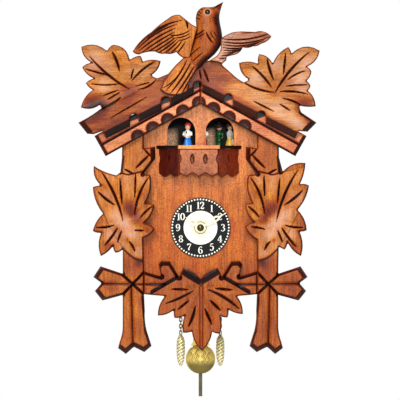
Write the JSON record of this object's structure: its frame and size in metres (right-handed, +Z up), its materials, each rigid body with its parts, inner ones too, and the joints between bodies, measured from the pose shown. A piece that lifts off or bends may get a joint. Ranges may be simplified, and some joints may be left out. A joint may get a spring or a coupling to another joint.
{
  "type": "cuckoo clock",
  "caption": "Carved wooden chalet clock with gabled roof, bird on top, leaf frame, balcony with revolving dancers, round dial, pendulum and cone weights on chains.",
  "frame": {"origin": "centre of the hanging hole in the back, on the wall plane", "axes": "+X right as seen from the front, +Y into the wall, +Z up"},
  "size_m": [0.1499, 0.0869, 0.2464],
  "materials": {
    "carved_wood": "stained, satin lacquer",
    "case_wood": "stained, satin lacquer",
    "dark_wood": "dark stain",
    "plain_wood": "raw plywood",
    "dial_black": "satin",
    "ivory_plastic": "satin",
    "aged_brass": "satin",
    "gilt": "polished",
    "black_plastic": "moulded",
    "white_plastic": "moulded",
    "steel": "plated",
    "copper_coil": "enamelled wire",
    "circuit_board": "resist",
    "black_card": "matt card",
    "blue_paint": "enamel",
    "green_paint": "enamel",
    "yellow_paint": "enamel",
    "red_paint": "enamel",
    "cell_jacket": "printed film",
    "glass_bead": "polished bead"
  },
  "bodies": {
    "case": {"front_board": "case_wood", "side_left": "case_wood", "side_right": "case_wood", "bottom_board": "case_wood", "back_gable": "plain_wood", "door_hinges": "aged_brass", "roof_left": "dark_wood", "roof_right": "dark_wood", "barge_left": "carved_wood", "barge_right": "carved_wood", "stage_floor": "plain_wood", "stage_backdrop": "black_card", "crown": "carved_wood", "bird_body": "carved_wood", "bird_wing_left": "carved_wood", "bird_wing_right": "carved_wood", "bird_eyes": "glass_bead", "stile_left": "carved_wood", "stile_right": "carved_wood", "apron": "carved_wood", "balcony_front": "carved_wood", "balcony_sides": "dark_wood", "balcony_rail": "carved_wood", "balcony_floor": "dark_wood", "dial": "dial_black", "dial_nut": "aged_brass", "movement_plate": "black_plastic", "movement_cover": "black_plastic", "movement_coils": "copper_coil", "dance_motor": "steel", "music_board": "circuit_board", "speaker": "black_plastic", "battery_holder": "black_plastic", "batteries": "cell_jacket", "chain_hooks": "aged_brass"},
    "door": {"back_door": "plain_wood", "door_leaves": "aged_brass"},
    "minute_arbor": {"minute_wheel": "aged_brass", "minute_hand": "ivory_plastic", "hand_cap": "aged_brass"},
    "hour_arbor": {"hour_wheel": "white_plastic", "hour_hand": "ivory_plastic"},
    "motion_arbor": {"motion_wheel": "white_plastic", "setting_knob": "black_plastic"},
    "third_arbor": {"third_wheel": "white_plastic"},
    "rotor_arbor": {"rotor": "steel"},
    "pendulum": {"pendulum_lever": "white_plastic", "pendulum_rod": "aged_brass", "pendulum_bob": "gilt"},
    "dance_disc": {"turntable": "plain_wood", "dancer_blue": "blue_paint", "dancer_green": "green_paint", "dancer_yellow": "yellow_paint", "dancer_red": "red_paint"},
    "dance_pinion": {"motor_pinion": "white_plastic"},
    "music_slider": {"switch_slider": "black_plastic"},
    "left_chain": {"chain_left": "aged_brass"},
    "right_chain": {"chain_right": "aged_brass"},
    "left_cone": {"cone_left": "gilt"},
    "right_cone": {"cone_right": "gilt"}
  },
  "joints": [
    {"name": "minute_spin", "type": "hinge", "parent": "case", "child": "minute_arbor", "pos_m": [0, -0.0577, -0.07], "axis": [0, 1, 0], "continuous": true},
    {"name": "hour_spin", "type": "hinge", "parent": "case", "child": "hour_arbor", "pos_m": [0, -0.0577, -0.07], "axis": [0, 1, 0], "continuous": true},
    {"name": "motion_spin", "type": "hinge", "parent": "case", "child": "motion_arbor", "pos_m": [-0.00848, -0.0577, -0.06152], "axis": [0, 1, 0], "continuous": true},
    {"name": "third_spin", "type": "hinge", "parent": "case", "child": "third_arbor", "pos_m": [-0.00792, -0.0577, -0.07792], "axis": [0, 1, 0], "continuous": true},
    {"name": "rotor_spin", "type": "hinge", "parent": "case", "child": "rotor_arbor", "pos_m": [-0.01842, -0.0577, -0.07792], "axis": [0, 1, 0], "continuous": true},
    {"name": "pendulum_swing", "type": "hinge", "parent": "case", "child": "pendulum", "pos_m": [0, -0.0387, -0.084], "axis": [0, 1, 0], "range_deg": [-4.5, 4.5]},
    {"name": "turntable_spin", "type": "hinge", "parent": "case", "child": "dance_disc", "pos_m": [0, -0.0335, -0.025], "axis": [0, 0, 1], "continuous": true},
    {"name": "motor_pinion_spin", "type": "hinge", "parent": "case", "child": "dance_pinion", "pos_m": [0.01485, -0.01865, -0.027], "axis": [0, 0, 1], "continuous": true},
    {"name": "music_switch", "type": "slide", "parent": "case", "child": "music_slider", "axis": [0, 1, 0], "range_m": [0, 0.004]},
    {"name": "back_door", "type": "hinge", "parent": "case", "child": "door", "pos_m": [-0.0406, -0.0013, -0.07], "axis": [0, 0, 1], "range_deg": [0, 110]},
    {"name": "left_chain_swing", "type": "hinge", "parent": "case", "child": "left_chain", "pos_m": [-0.0124, -0.052, -0.11258], "axis": [0, 1, 0], "range_deg": [-8, 8]},
    {"name": "right_chain_swing", "type": "hinge", "parent": "case", "child": "right_chain", "pos_m": [0.0124, -0.052, -0.11258], "axis": [0, 1, 0], "range_deg": [-8, 8]},
    {"name": "left_cone_swing", "type": "hinge", "parent": "left_chain", "child": "left_cone", "pos_m": [-0.0124, -0.052, -0.13673], "axis": [0, 1, 0], "range_deg": [-8, 8]},
    {"name": "right_cone_swing", "type": "hinge", "parent": "right_chain", "child": "right_cone", "pos_m": [0.0124, -0.052, -0.13673], "axis": [0, 1, 0], "range_deg": [-8, 8]}
  ],
  "couplings": [
    {"joint": "hour_spin", "follows": "minute_spin", "ratio": 0.083333},
    {"joint": "motion_spin", "follows": "minute_spin", "ratio": -0.33333},
    {"joint": "third_spin", "follows": "minute_spin", "ratio": -6},
    {"joint": "rotor_spin", "follows": "minute_spin", "ratio": 36},
    {"joint": "motor_pinion_spin", "follows": "turntable_spin", "ratio": -6}
  ]
}
